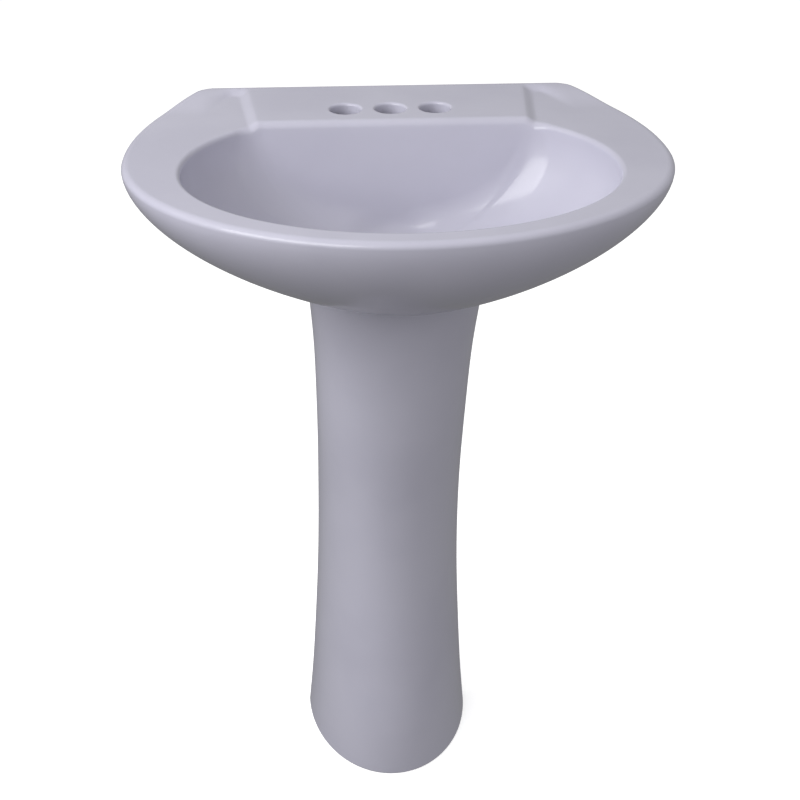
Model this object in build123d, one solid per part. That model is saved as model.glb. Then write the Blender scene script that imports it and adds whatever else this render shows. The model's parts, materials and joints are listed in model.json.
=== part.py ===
from build123d import *
import os
from math import asin, cos, pi, radians, sin

# Pedestal sink: a china basin on a china pedestal, with its push-push drain and P-trap.
# Frame: origin on the floor under the middle of the bounding box, +X to the user's right as they
# face the sink, +Y to the wall, +Z up. Millimetres. Places in Y are set back from the wall plane.

# Waste tube, which sizes the drain, its hole in the bowl, the trap and its nuts
TUBE_RADIUS = 15.875
TUBE_WALL = 1.2
BODY_BORE_RADIUS = TUBE_RADIUS + 0.625
BODY_RADIUS = BODY_BORE_RADIUS + 2.5
DRAIN_HOLE_RADIUS = BODY_RADIUS + 3.2
FLANGE_RADIUS = DRAIN_HOLE_RADIUS + 8.8

# Basin, overall
WIDTH = 584.0
DEPTH = 455.0
DECK_TOP = 864.0
WALL_Y = DEPTH / 2
FRONT_Y = -DEPTH / 2

# Basin, rim and hull
CHINA_WALL = 10.0
RIM_DROP = 5.0            # rim top below the raised faucet deck
RIM_EDGE = 7.0            # straight height of the rim's outer edge
EDGE_RADIUS = 6.0
WIDEST_SETBACK = 221.0    # widest place of the rim from the wall
BACK_TAPER = 79.0         # how much each side draws in from there to the wall
HULL_DEPTH = 130.0        # from under the rim's edge to the flat bottom
HULL_FALL = 1.65          # exponents of the hull's profile
HULL_SPREAD = 1.5
HULL_FOOT_HALF_WIDTH = 60.0
HULL_FOOT_FRONT_SETBACK = 314.0
HULL_FOOT_WIDEST_SETBACK = 206.0
HULL_FOOT_BACK_SETBACK = 112.0   # where the flat bottom starts to rise to the wall
HULL_FOOT_BACK_HALF_WIDTH = 45.0
BACK_FACE_SHARE = 0.3     # the back is flat above this share of the hull's depth
UNDERSIDE_BEND_RUN = 0.75  # a point of the rising underside: share of its run to the wall
UNDERSIDE_BEND_RISE = 0.4  # and of its rise
HULL_SHARES = (0.0, 0.04, 0.12, 0.25, 0.42, 0.62, 0.82, 1.0)   # heights of the hull's sections
SIDE_SHARES = (1.0, 0.75, 0.5, 0.25)   # points of an outline's side, from the wall forwards
BOW_STEP = 12             # degrees between an outline's points round the front
RIM_TOP = DECK_TOP - RIM_DROP
HULL_TOP = RIM_TOP - RIM_EDGE
HULL_BOTTOM = HULL_TOP - HULL_DEPTH
WIDEST_Y = WALL_Y - WIDEST_SETBACK

# Basin, bowl
SIDE_RIM = 63.0
FRONT_RIM = 29.0
BOWL_WIDEST_SETBACK = 258.0
BOWL_DEPTH = 122.0
BOWL_FLOOR_RADIUS = FLANGE_RADIUS + 3.0
BOWL_SHARES = (0.0, 0.03, 0.1, 0.22, 0.4, 0.65, 1.0)   # heights of the bowl's sections
DECK_DEPTH = 131.0        # from the wall to the front edge of the faucet deck
BACK_WALL_LEAN = 9.0      # degrees off vertical, the foot of the wall further from the deck's edge
BOWL_FLOOR = RIM_TOP - BOWL_DEPTH
BOWL_Y = WALL_Y - BOWL_WIDEST_SETBACK
BOWL_HALF_WIDTH = WIDTH / 2 - SIDE_RIM
BOWL_FRONT = BOWL_Y - FRONT_Y - FRONT_RIM

# Basin, raised faucet deck
DECK_HALF_BACK = 161.0
DECK_HALF_FRONT = 147.5
DECK_SLOPE = 14.0         # plan width of the slope down to the rim
BACK_STRIP = 11.0         # raised strip along the wall, before its slope
UNDER_DECK = 18.0         # thickness of china at the faucet holes

# Basin, holes
FAUCET_SPACING = 50.8
FAUCET_HOLE_RADIUS = 17.5
FAUCET_SETBACK = 88.0
HANGER_SPACING = 203.2
HANGER_HOLE_RADIUS = 5.5
HANGER_BELOW_DECK = 64.0
BACK_BAY_HALF_WIDTH = 150.0

# Basin, drain boss and overflow
DRAIN_SETBACK = 200.0
DRAIN_Y = WALL_Y - DRAIN_SETBACK
BOSS_RADIUS = FLANGE_RADIUS + 9.0
BOSS_DROP = 16.0          # boss below the hull's flat bottom
BOSS_BOTTOM = HULL_BOTTOM - BOSS_DROP
OVERFLOW_WIDTH = 26.0
OVERFLOW_GAP = 8.0        # thickness of the duct
OVERFLOW_BELOW_RIM = 30.0
OVERFLOW_JACKET = 8.0     # china round the duct
OVERFLOW_SHARES = (0.7, 0.45, 0.2, 0.06, 0.01)   # heights of the duct's points
PORT_HEIGHT = 9.0
PORT_WIDTH = 9.5
PORT_ABOVE_BOSS = 9.0

# Neck and pedestal
NECK_HEIGHT = 16.0
PEDESTAL_TOP = HULL_BOTTOM - NECK_HEIGHT
PEDESTAL_WALL = 10.0
PEDESTAL_REAR_SETBACK = 73.0
TAIL_DEPTH = 200.0        # half-length of the ellipse behind the widest place
# share of the height, half-width, widest place and front, both set back from the wall
PEDESTAL_STATIONS = (
    (0.0, 107.4, 74.5, 235.0),
    (0.09, 101.8, 74.5, 232.0),
    (0.21, 96.5, 75.0, 224.0),
    (0.37, 91.4, 77.0, 218.0),
    (0.54, 89.6, 92.0, 222.0),
    (0.71, 90.6, 125.0, 236.0),
    (0.86, 93.6, 155.0, 250.0),
    (1.0, 100.4, 191.0, 266.0),
)
SECTION_POINTS = 17
FOOT_PLATE = 14.0
FOOT_PLATE_FRONT_SETBACK = 200.0
FOOT_PLATE_BACK_SETBACK = 150.0
FLOOR_BOLT_RADIUS = 5.0
FLOOR_BOLT_SETBACK = 175.0

# Drain
FLANGE_THICKNESS = 2.5
FLANGE_GASKET = 2.0
FLANGE_GASKET_CLEARANCE = 1.0
FLANGE_EDGE = 1.0
FLANGE_LIP = 2.0          # flat ring between the flange's slope and its seat
THROAT_RADIUS = DRAIN_HOLE_RADIUS   # body just under the flange
THROAT_DEPTH = 1.0
THROAT_CONE = 2.0
SEAT_BOTTOM_RADIUS = BODY_BORE_RADIUS + 0.3
SEAT_TOP_RADIUS = SEAT_BOTTOM_RADIUS + 7.2
SEAT_DEPTH = 9.0
BODY_LENGTH = 98.0
SPIDER_DROP = 44.0        # cross-bars below the bowl's floor
SPIDER_HEIGHT = 7.0
SPIDER_BAR = 3.0
HUB_RADIUS = 7.5
SEAT_GAP = 0.3
CAP_DOME = 2.0
CAP_RIM = 1.6
CAP_SHOULDER_RADIUS = 0.6  # shares of the cap's radius and dome where its slope steepens
CAP_SHOULDER_RISE = 0.7
SEAL_THICKNESS = 2.6
STEM_RADIUS = 2.9
STEM_CLEARANCE = 0.08
STEM_COLLAR_RADIUS = 6.5
STEM_COLLAR = 3.0
CARTRIDGE_RADIUS = 5.0
CARTRIDGE_HEAD_RADIUS = 7.5
CARTRIDGE_HEAD = 3.0
CARTRIDGE_LENGTH = 26.0
CARTRIDGE_FLOOR = 2.0
SPRING_RADIUS = 4.9
SPRING_WIRE = 0.55
SPRING_TURNS = 6
SPRING_END_GAP = 0.1
PUSH_TRAVEL = 9.0
FLANGE_UNDER = BOWL_FLOOR + FLANGE_GASKET
FLANGE_TOP = FLANGE_UNDER + FLANGE_THICKNESS
SEAT_BOTTOM = FLANGE_TOP - SEAT_DEPTH
SPIDER_TOP = BOWL_FLOOR - SPIDER_DROP
CARTRIDGE_TOP = SPIDER_TOP + CARTRIDGE_HEAD
BODY_END = FLANGE_TOP - BODY_LENGTH

# Drain's seals and nut below the boss
BOSS_GASKET_RADIUS = FLANGE_RADIUS
BOSS_GASKET = 6.0
BOSS_CONE = 6.0
BOSS_CONE_TIP_RADIUS = BODY_RADIUS + 1.2
FRICTION_WASHER = 2.5
LOCKNUT_ACROSS_FLATS = 2 * BODY_RADIUS + 16.0
LOCKNUT = 11.0

# Trap
SOCKET_WALL = 2.2
SOCKET_FIT = 0.15
TRAP_REACH = 101.6        # between the bend's two legs
BEND_CLEARANCE = 2.25     # from the inlet leg to the inside of the pedestal's front
ELBOW_RADIUS = 30.0
BEND_CENTRE_DROP = 70.0   # bend's centre below the arm
INLET_LEG = 100.0
OUTLET_LEG = 28.0
SOCKET_DEPTH = 22.0
TAIL_INSERT = 18.0
TAIL_THREAD = 15.0
NUT_HEIGHT = 24.0
NUT_GRIP = 18.0           # part of the nut round the socket
NUT_ACROSS_FLATS = 2 * TUBE_RADIUS + 14.25
SLIP_WASHER = 3.0
CLEANOUT_RADIUS = 10.0
CLEANOUT_BORE = 6.0
CLEANOUT_DROP = 6.0
CLEANOUT_WASHER = 1.6
CLEANOUT_HEAD = 6.0
CLEANOUT_ACROSS_FLATS = 19.0
ESCUTCHEON_RADIUS = TUBE_RADIUS + 17.125
ESCUTCHEON_DEPTH = 12.0
ESCUTCHEON_WALL = 1.2
ESCUTCHEON_COLLAR = 4.0   # flat ring round the tube
SOCKET_RADIUS = TUBE_RADIUS + SOCKET_FIT + SOCKET_WALL
# The pedestal's front runs forwards going up, so the bend starts where its inlet leg clears it
BEND_FRONT_SETBACK = DRAIN_SETBACK + TUBE_RADIUS + BEND_CLEARANCE + PEDESTAL_WALL
BELOW_BEND, ABOVE_BEND = PEDESTAL_STATIONS[4:6]
BEND_PART = (BEND_FRONT_SETBACK - BELOW_BEND[3]) / (ABOVE_BEND[3] - BELOW_BEND[3])
BEND_Z = PEDESTAL_TOP * (BELOW_BEND[0] + (ABOVE_BEND[0] - BELOW_BEND[0]) * BEND_PART)
ARM_HEIGHT = BEND_Z + BEND_CENTRE_DROP
INLET_TOP = BEND_Z + INLET_LEG
OUTLET_TOP = BEND_Z + OUTLET_LEG
OUTLET_Y = DRAIN_Y + TRAP_REACH
TAIL_BOTTOM = INLET_TOP - TAIL_INSERT

BIG = 400.0               # oversize for cutting blocks
OVERCUT = 1.0             # how far a cut runs past the face it opens


# --- small helpers -----------------------------------------------------------------------------

def cylinder(radius, low, high, x=0.0, y=0.0):
    """Upright cylinder between two heights."""
    return Pos(x, y, (low + high) / 2) * Cylinder(radius, high - low)


def tube(outer, inner, low, high, x=0.0, y=0.0):
    return cylinder(outer, low, high, x, y) - cylinder(inner, low - OVERCUT, high + OVERCUT, x, y)


def block(x_low, x_high, y_low, y_high, z_low, z_high):
    place = Pos((x_low + x_high) / 2, (y_low + y_high) / 2, (z_low + z_high) / 2)
    return place * Box(x_high - x_low, y_high - y_low, z_high - z_low)


def turned(profile, y=0.0):
    """Solid of revolution about the upright axis at y, from (radius, height) points."""
    outline = Polyline([(r, 0, z) for r, z in profile], close=True)
    return Pos(0, y, 0) * revolve(make_face(outline), Axis.Z)


def hexagon(across_flats, low, high, y=0.0):
    sketch = Plane.XY.offset(low) * RegularPolygon(across_flats / 2, 6, major_radius=False)
    return Pos(0, y, 0) * extrude(sketch, high - low, dir=(0, 0, 1))


def mix(low, high, share):
    return low + (high - low) * share


# --- basin -------------------------------------------------------------------------------------

def hull_share(s):
    """How far the hull has spread from its flat bottom (0) to the rim (1) at height share s."""
    return (1 - (1 - s) ** HULL_FALL) ** (1 / HULL_SPREAD)


def hull_front(s):
    return mix(WALL_Y - HULL_FOOT_FRONT_SETBACK, FRONT_Y, hull_share(s))


def hull_outline(s, inset):
    """Points of the hull's outline at height share s, from the back left corner round the front."""
    g = hull_share(s)
    half = mix(HULL_FOOT_HALF_WIDTH, WIDTH / 2, g) - inset
    front = hull_front(s) + inset
    widest = mix(WALL_Y - HULL_FOOT_WIDEST_SETBACK, WIDEST_Y, g)
    back = WALL_Y - inset
    taper = mix(HULL_FOOT_HALF_WIDTH - HULL_FOOT_BACK_HALF_WIDTH, BACK_TAPER, g)
    side = [(half - taper * u * u, mix(widest, back, u)) for u in SIDE_SHARES]
    angles = [radians(a) for a in range(0, 91, BOW_STEP)]
    bow = [(half * cos(a), widest - (widest - front) * sin(a)) for a in angles]
    right = side + bow
    return [(-x, y) for x, y in right] + [(x, y) for x, y in reversed(right[:-1])]


def outline_face(points, z):
    curve = Spline([(x, y, z) for x, y in points])
    return make_face([curve, Line(curve @ 1, curve @ 0)])


def hull_loft(inset, bottom, top):
    """Boat-shaped solid of the hull, drawn in by inset, between two heights."""
    return loft([outline_face(hull_outline(s, inset), mix(bottom, top, s)) for s in HULL_SHARES])


def bowl_ring(s):
    """Half-width, half-depth and centre of the bowl at height share s."""
    g = (1 - (1 - s) ** 2) ** 0.5
    half_x = mix(BOWL_FLOOR_RADIUS, BOWL_HALF_WIDTH, g)
    half_y = mix(BOWL_FLOOR_RADIUS, BOWL_FRONT, g)
    return half_x, half_y, mix(DRAIN_Y, BOWL_Y, g)


def bowl_loft(grow):
    """Elliptical bowl cavity with its leaning back wall, grown by grow on every side."""
    faces = []
    for s in BOWL_SHARES:
        half_x, half_y, centre = bowl_ring(s)
        place = Pos(0, centre, mix(BOWL_FLOOR - grow, RIM_TOP, s))
        faces.append(place * Ellipse(half_x + grow, half_y + grow))
    cavity = loft(faces) + extrude(faces[-1], 2 * RIM_DROP, dir=(0, 0, 1))
    hinge = Pos(0, WALL_Y - DECK_DEPTH + grow, RIM_TOP) * Rot(-BACK_WALL_LEAN, 0, 0)
    return cavity - hinge * Pos(0, BIG / 2, 0) * Box(2 * BIG, BIG, 2 * BIG)


def deck_outline(z, spread):
    """Raised strip along the wall with the faucet deck in its middle, at height z."""
    strip = WALL_Y - BACK_STRIP - spread
    front = WALL_Y - DECK_DEPTH
    half_strip = WIDTH / 2 - BACK_TAPER
    points = [
        (half_strip, WALL_Y, z),
        (half_strip + spread / 2, strip, z),
        (DECK_HALF_BACK + spread, strip, z),
        (DECK_HALF_FRONT + spread, front, z),
    ]
    left = [(-x, y, z) for x, y, z in reversed(points)]
    return make_face(Polyline(points + left, close=True))


def faucet_deck():
    sloped = loft([deck_outline(RIM_TOP, DECK_SLOPE), deck_outline(DECK_TOP, 0)], ruled=True)
    return sloped + extrude(deck_outline(RIM_TOP, DECK_SLOPE), RIM_EDGE, dir=(0, 0, -1))


def neck(inset, low, high):
    """Ring between the hull and the pedestal's top, with the pedestal's outline."""
    return extrude(pedestal_face(1.0, low, inset), high - low, dir=(0, 0, 1))


def back_bay():
    """Space under the faucet deck, open below, for the faucet's shanks and the hanger bolts."""
    return block(
        -BACK_BAY_HALF_WIDTH, BACK_BAY_HALF_WIDTH,
        WALL_Y - HULL_FOOT_BACK_SETBACK - CHINA_WALL, WALL_Y - CHINA_WALL,
        PEDESTAL_TOP - OVERCUT, DECK_TOP - UNDER_DECK,
    )


def underside():
    """Block below the rising underside at the wall, from the hull's flat bottom to the back face."""
    start = WALL_Y - HULL_FOOT_BACK_SETBACK
    rise = HULL_BOTTOM + BACK_FACE_SHARE * HULL_DEPTH
    low = PEDESTAL_TOP - OVERCUT
    end = WALL_Y + OVERCUT
    bend = (0, mix(start, WALL_Y, UNDERSIDE_BEND_RUN), mix(HULL_BOTTOM, rise, UNDERSIDE_BEND_RISE))
    slope = Spline([(0, start, HULL_BOTTOM), bend, (0, end, rise)], tangents=[(0, 1, 0), (0, 0, 1)])
    below = Polyline([(0, end, rise), (0, end, low), (0, start, low), (0, start, HULL_BOTTOM)])
    return extrude(make_face([slope, below]), BIG, both=True)


def overflow_middle(share):
    """Point midway between the bowl and the hull at the front, at a share of each one's height."""
    _, half_y, centre = bowl_ring(share)
    y = (centre - half_y + hull_front(share)) / 2
    return y, (mix(BOWL_FLOOR, RIM_TOP, share) + mix(HULL_BOTTOM, HULL_TOP, share)) / 2


def overflow_duct():
    """Flat duct between bowl and hull, from its slot in the bowl's front down to the drain hole."""
    slot_share = 1 - OVERFLOW_BELOW_RIM / BOWL_DEPTH
    _, half_y, centre = bowl_ring(slot_share)
    slot = (centre - half_y + OVERFLOW_GAP, RIM_TOP - OVERFLOW_BELOW_RIM)
    middle = [overflow_middle(share) for share in OVERFLOW_SHARES]
    port = (DRAIN_Y - DRAIN_HOLE_RADIUS / 2, BOSS_BOTTOM + PORT_ABOVE_BOSS + PORT_HEIGHT / 2)
    path = Spline([(0, y, z) for y, z in (slot, *middle, port)])
    mouth = Plane(origin=path @ 0, x_dir=(1, 0, 0), z_dir=path % 0)
    return sweep(mouth * Rectangle(OVERFLOW_WIDTH, OVERFLOW_GAP), path=path)


def overflow_jacket():
    """China left between bowl and hull round the duct."""
    half = OVERFLOW_WIDTH / 2 + OVERFLOW_JACKET
    neck_front = WALL_Y - PEDESTAL_STATIONS[-1][3] + PEDESTAL_WALL / 2
    upper = block(-half, half, FRONT_Y, DRAIN_Y, HULL_BOTTOM, RIM_TOP)
    return upper + block(-half, half, neck_front, DRAIN_Y, BOSS_BOTTOM, HULL_BOTTOM)


def rim_prism(low, high):
    """Straight-sided block with the rim's outline."""
    return extrude(outline_face(hull_outline(1.0, 0), low), high - low, dir=(0, 0, 1))


def outer_form():
    """Everything outside: hull, rim with its rounded edge, faucet deck and neck."""
    rim = rim_prism(0, RIM_EDGE)
    rim = Pos(0, 0, HULL_TOP) * fillet(rim.edges().group_by(Axis.Z)[-1], EDGE_RADIUS)
    deck = faucet_deck() & rim_prism(HULL_TOP, DECK_TOP)
    deck = fillet(deck.edges().filter_by(Axis.X).group_by(Axis.Z)[-1].sort_by(Axis.Y)[-1], EDGE_RADIUS)
    hull = hull_loft(0, HULL_BOTTOM, HULL_TOP) - underside()
    return hull + rim + deck + neck(0, PEDESTAL_TOP, HULL_BOTTOM + CHINA_WALL)


def under_hollow():
    """Space between bowl and hull, open at the back under the faucet deck and down the neck."""
    hollow = hull_loft(CHINA_WALL, HULL_BOTTOM + CHINA_WALL, HULL_TOP - CHINA_WALL / 2)
    hollow += back_bay()
    hollow += neck(PEDESTAL_WALL, PEDESTAL_TOP - OVERCUT, HULL_BOTTOM)
    boss = cylinder(BOSS_RADIUS, BOSS_BOTTOM, BOWL_FLOOR, y=DRAIN_Y)
    return hollow - bowl_loft(CHINA_WALL) - boss - overflow_jacket()


def basin():
    body = outer_form() - under_hollow() - bowl_loft(0) - overflow_duct()
    body -= cylinder(DRAIN_HOLE_RADIUS, BOSS_BOTTOM - OVERCUT, BOWL_FLOOR + OVERCUT, y=DRAIN_Y)
    faucet_y = WALL_Y - FAUCET_SETBACK
    for x in (-FAUCET_SPACING, 0, FAUCET_SPACING):
        body -= cylinder(FAUCET_HOLE_RADIUS, DECK_TOP - UNDER_DECK - OVERCUT, DECK_TOP + OVERCUT, x, faucet_y)
    hole = Cylinder(HANGER_HOLE_RADIUS, 3 * CHINA_WALL, rotation=(90, 0, 0))
    for x in (-HANGER_SPACING / 2, HANGER_SPACING / 2):
        body -= Pos(x, WALL_Y - CHINA_WALL / 2, DECK_TOP - HANGER_BELOW_DECK) * hole
    return body


# --- pedestal ----------------------------------------------------------------------------------

def station_at(share):
    """Half-width, widest place and front of the pedestal at a share of its height."""
    for low, high in zip(PEDESTAL_STATIONS, PEDESTAL_STATIONS[1:]):
        if low[0] <= share <= high[0]:
            t = (share - low[0]) / (high[0] - low[0])
            return [mix(a, b, t) for a, b in zip(low[1:], high[1:])]
    raise ValueError("share of the height is outside the pedestal")


def pedestal_face(share, z, inset, rear_extra=0.0):
    """Closed D-shaped section: elliptical front and sides, straight across the open rear."""
    half, widest_setback, front_setback = station_at(share)
    widest = WALL_Y - widest_setback
    rear = WALL_Y - PEDESTAL_REAR_SETBACK + rear_extra
    tail = asin((rear - widest) / TAIL_DEPTH)
    points = []
    for i in range(SECTION_POINTS):
        t = mix(-(pi / 2 + tail), pi / 2 + tail, i / (SECTION_POINTS - 1))
        x = (half - inset) * sin(t)
        if abs(t) <= pi / 2:
            y = widest - (front_setback - widest_setback - inset) * cos(t)
        else:
            y = widest - TAIL_DEPTH * cos(t)
        points.append((x, y))
    return outline_face(points, z)


def pedestal_loft(inset, rear_extra):
    faces = [pedestal_face(s[0], PEDESTAL_TOP * s[0], inset, rear_extra) for s in PEDESTAL_STATIONS]
    return loft(faces)


def pedestal():
    shell = pedestal_loft(0, 0) - pedestal_loft(PEDESTAL_WALL, 2 * PEDESTAL_WALL)
    plate = block(
        -BIG, BIG, WALL_Y - FOOT_PLATE_FRONT_SETBACK, WALL_Y - FOOT_PLATE_BACK_SETBACK, 0, FOOT_PLATE
    )
    shell += plate & pedestal_loft(0, 0)
    return shell - cylinder(FLOOR_BOLT_RADIUS, -OVERCUT, FOOT_PLATE + OVERCUT, y=WALL_Y - FLOOR_BOLT_SETBACK)


# --- drain -------------------------------------------------------------------------------------

def seat_radius(z):
    """Radius of the flange's conical seat at height z."""
    return mix(SEAT_BOTTOM_RADIUS, SEAT_TOP_RADIUS, (z - SEAT_BOTTOM) / SEAT_DEPTH)


def waste_body():
    body = turned([
        (BODY_BORE_RADIUS, BODY_END),
        (BODY_RADIUS, BODY_END),
        (BODY_RADIUS, FLANGE_UNDER - THROAT_DEPTH - THROAT_CONE),
        (THROAT_RADIUS, FLANGE_UNDER - THROAT_DEPTH),
        (THROAT_RADIUS, FLANGE_UNDER),
        (FLANGE_RADIUS, FLANGE_UNDER),
        (FLANGE_RADIUS, FLANGE_UNDER + FLANGE_EDGE),
        (SEAT_TOP_RADIUS + FLANGE_LIP, FLANGE_TOP),
        (SEAT_TOP_RADIUS, FLANGE_TOP),
        (SEAT_BOTTOM_RADIUS, SEAT_BOTTOM),
        (BODY_BORE_RADIUS, SEAT_BOTTOM),
    ], DRAIN_Y)
    bar = Box(2 * BODY_BORE_RADIUS + OVERCUT, SPIDER_BAR, SPIDER_HEIGHT)
    spider_z = SPIDER_TOP - SPIDER_HEIGHT / 2
    for turn in (0, 90):
        body += Pos(0, DRAIN_Y, spider_z) * Rot(0, 0, turn) * bar
    body += cylinder(HUB_RADIUS, SPIDER_TOP - SPIDER_HEIGHT, SPIDER_TOP, y=DRAIN_Y)
    body -= cylinder(CARTRIDGE_RADIUS, SPIDER_TOP - 2 * SPIDER_HEIGHT, SPIDER_TOP + OVERCUT, y=DRAIN_Y)
    port_z = BOSS_BOTTOM + PORT_ABOVE_BOSS + PORT_HEIGHT / 2
    port = Box(3 * BODY_RADIUS, PORT_WIDTH, PORT_HEIGHT)
    for turn in (45, 135):
        body -= Pos(0, DRAIN_Y, port_z) * Rot(0, 0, turn) * port
    return body


def stopper_levels():
    """Heights of the seal's underside, the cap's underside and the cap's rim."""
    cap_under = FLANGE_TOP - CAP_RIM
    return cap_under - SEAL_THICKNESS, cap_under, FLANGE_TOP


def stopper_cap():
    _, under, rim = stopper_levels()
    radius = seat_radius(under) - SEAT_GAP
    return turned([
        (0, under),
        (radius, under),
        (radius, rim),
        (radius * CAP_SHOULDER_RADIUS, rim + CAP_DOME * CAP_SHOULDER_RISE),
        (0, rim + CAP_DOME),
    ], DRAIN_Y)


def stopper_seal():
    low, high, _ = stopper_levels()
    return turned([
        (STEM_COLLAR_RADIUS, low),
        (seat_radius(low) - SEAT_GAP, low),
        (seat_radius(high) - SEAT_GAP, high),
        (STEM_COLLAR_RADIUS, high),
    ], DRAIN_Y)


def stopper_stem():
    low, high, _ = stopper_levels()
    foot = SPIDER_TOP - CARTRIDGE_LENGTH + CARTRIDGE_HEAD + PUSH_TRAVEL / 2
    stem = cylinder(STEM_RADIUS, foot, high, y=DRAIN_Y)
    return stem + cylinder(STEM_COLLAR_RADIUS, low - STEM_COLLAR, high, y=DRAIN_Y)


def click_cartridge():
    bottom = CARTRIDGE_TOP - CARTRIDGE_LENGTH
    barrel = cylinder(CARTRIDGE_RADIUS, bottom, SPIDER_TOP, y=DRAIN_Y)
    head = cylinder(CARTRIDGE_HEAD_RADIUS, SPIDER_TOP, CARTRIDGE_TOP, y=DRAIN_Y)
    floor = bottom + CARTRIDGE_FLOOR
    bore = cylinder(STEM_RADIUS + STEM_CLEARANCE, floor, CARTRIDGE_TOP + OVERCUT, y=DRAIN_Y)
    return barrel + head - bore


def stopper_spring():
    low = CARTRIDGE_TOP + SPRING_END_GAP + SPRING_WIRE
    high = stopper_levels()[0] - STEM_COLLAR - SPRING_END_GAP - SPRING_WIRE
    pitch = (high - low) / SPRING_TURNS
    path = Helix(pitch, high - low, SPRING_RADIUS)
    section = Plane(origin=path @ 0, z_dir=path % 0) * Circle(SPRING_WIRE)
    return Pos(0, DRAIN_Y, low) * sweep(section, path=path, is_frenet=True)


def flange_gasket():
    inner = DRAIN_HOLE_RADIUS + FLANGE_GASKET_CLEARANCE
    return tube(FLANGE_RADIUS, inner, BOWL_FLOOR, FLANGE_UNDER, y=DRAIN_Y)


def boss_gasket():
    low = BOSS_BOTTOM - BOSS_GASKET
    return turned([
        (BODY_RADIUS, low),
        (BOSS_GASKET_RADIUS, low),
        (BOSS_GASKET_RADIUS, BOSS_BOTTOM),
        (DRAIN_HOLE_RADIUS, BOSS_BOTTOM),
        (BOSS_CONE_TIP_RADIUS, BOSS_BOTTOM + BOSS_CONE),
        (BODY_RADIUS, BOSS_BOTTOM + BOSS_CONE),
    ], DRAIN_Y)


def friction_washer():
    high = BOSS_BOTTOM - BOSS_GASKET
    return tube(BOSS_GASKET_RADIUS, BODY_RADIUS, high - FRICTION_WASHER, high, y=DRAIN_Y)


def waste_locknut():
    high = BOSS_BOTTOM - BOSS_GASKET - FRICTION_WASHER
    nut = hexagon(LOCKNUT_ACROSS_FLATS, high - LOCKNUT, high, DRAIN_Y)
    return nut - cylinder(BODY_RADIUS, high - LOCKNUT - OVERCUT, high + OVERCUT, y=DRAIN_Y)


# --- trap --------------------------------------------------------------------------------------

def tailpiece():
    top = BODY_END + TAIL_THREAD
    bore = TUBE_RADIUS - TUBE_WALL
    piece = cylinder(TUBE_RADIUS, TAIL_BOTTOM, top, y=DRAIN_Y)
    piece += cylinder(BODY_BORE_RADIUS, BODY_END, top, y=DRAIN_Y)
    return piece - cylinder(bore, TAIL_BOTTOM - OVERCUT, top + OVERCUT, y=DRAIN_Y)


def swept_tube(path, radius):
    section = Plane(origin=path @ 0, z_dir=path % 0) * Circle(radius)
    return sweep(section, path=path)


def bend_path():
    """Centre line of the bend: down the inlet leg, round, and up the outlet leg."""
    half = TRAP_REACH / 2
    middle = DRAIN_Y + half
    inlet = Line((0, DRAIN_Y, INLET_TOP), (0, DRAIN_Y, BEND_Z))
    turn = ThreePointArc((0, DRAIN_Y, BEND_Z), (0, middle, BEND_Z - half), (0, OUTLET_Y, BEND_Z))
    outlet = Line((0, OUTLET_Y, BEND_Z), (0, OUTLET_Y, OUTLET_TOP))
    return Wire([inlet, turn, outlet])


def trap_bend():
    path = bend_path()
    outside = swept_tube(path, TUBE_RADIUS)
    sockets = ((DRAIN_Y, INLET_TOP), (OUTLET_Y, OUTLET_TOP))
    for y, top in sockets:
        outside += cylinder(SOCKET_RADIUS, top - SOCKET_DEPTH, top, y=y)
    cleanout_y = DRAIN_Y + TRAP_REACH / 2
    bottom = BEND_Z - TRAP_REACH / 2 - TUBE_RADIUS
    outside += cylinder(CLEANOUT_RADIUS, bottom - CLEANOUT_DROP, bottom + TUBE_RADIUS, y=cleanout_y)
    bend = outside - swept_tube(path, TUBE_RADIUS - TUBE_WALL)
    for y, top in sockets:
        bend -= cylinder(TUBE_RADIUS + SOCKET_FIT, top - SOCKET_DEPTH + TUBE_WALL, top + OVERCUT, y=y)
    low = bottom - CLEANOUT_DROP - OVERCUT
    return bend - cylinder(CLEANOUT_BORE, low, bottom + TUBE_RADIUS, y=cleanout_y)


def slip_nut(y, socket_top):
    """Hexagonal nut round a socket, with a lip that presses the washer."""
    low = socket_top - NUT_GRIP
    high = low + NUT_HEIGHT
    nut = hexagon(NUT_ACROSS_FLATS, low, high, y)
    nut -= cylinder(SOCKET_RADIUS, low - OVERCUT, socket_top + SLIP_WASHER, y=y)
    return nut - cylinder(TUBE_RADIUS + SOCKET_FIT, low, high + OVERCUT, y=y)


def slip_washer(y, socket_top):
    return tube(SOCKET_RADIUS, TUBE_RADIUS, socket_top, socket_top + SLIP_WASHER, y=y)


def trap_arm():
    low = OUTLET_TOP - TAIL_INSERT
    turn_z = ARM_HEIGHT - ELBOW_RADIUS
    turn_y = OUTLET_Y + ELBOW_RADIUS
    leg = Line((0, OUTLET_Y, low), (0, OUTLET_Y, turn_z))
    slant = ELBOW_RADIUS * (1 - cos(pi / 4))
    elbow = ThreePointArc(
        (0, OUTLET_Y, turn_z), (0, OUTLET_Y + slant, ARM_HEIGHT - slant), (0, turn_y, ARM_HEIGHT)
    )
    run = Line((0, turn_y, ARM_HEIGHT), (0, WALL_Y, ARM_HEIGHT))
    path = Wire([leg, elbow, run])
    return swept_tube(path, TUBE_RADIUS) - swept_tube(path, TUBE_RADIUS - TUBE_WALL)


def cleanout_levels():
    boss_end = BEND_Z - TRAP_REACH / 2 - TUBE_RADIUS - CLEANOUT_DROP
    return boss_end, boss_end - CLEANOUT_WASHER


def cleanout_washer():
    high, low = cleanout_levels()
    return tube(CLEANOUT_RADIUS, CLEANOUT_BORE, low, high, y=DRAIN_Y + TRAP_REACH / 2)


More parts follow.
